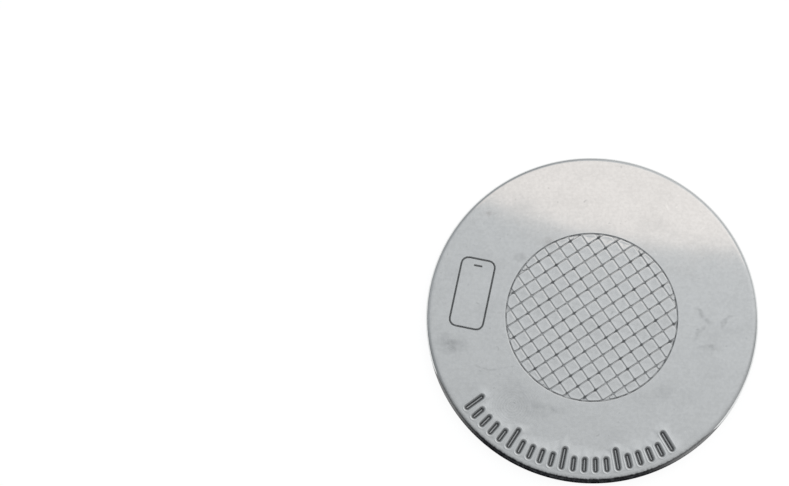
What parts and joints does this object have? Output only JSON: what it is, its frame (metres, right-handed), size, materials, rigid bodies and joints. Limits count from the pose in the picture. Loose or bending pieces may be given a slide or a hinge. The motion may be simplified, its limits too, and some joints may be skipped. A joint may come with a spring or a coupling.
{
  "type": "magnetic phone mount plate",
  "caption": "Thin round steel plate that sticks to a phone or its case, so that a magnetic mount can hold it; waffle field, arc scale and phone mark stamped in its face.",
  "frame": {"origin": "centre of the flat back, at the bottom of the part as it lies", "axes": "+Z out of the stamped face, -Y towards the middle of the arc scale, -X towards the phone mark"},
  "size_m": [0.038, 0.038, 0.0015],
  "materials": {
    "satin_steel": "satin, tumbled and lightly handled"
  },
  "bodies": {
    "root": {"plate": "satin_steel"}
  },
  "joints": []
}
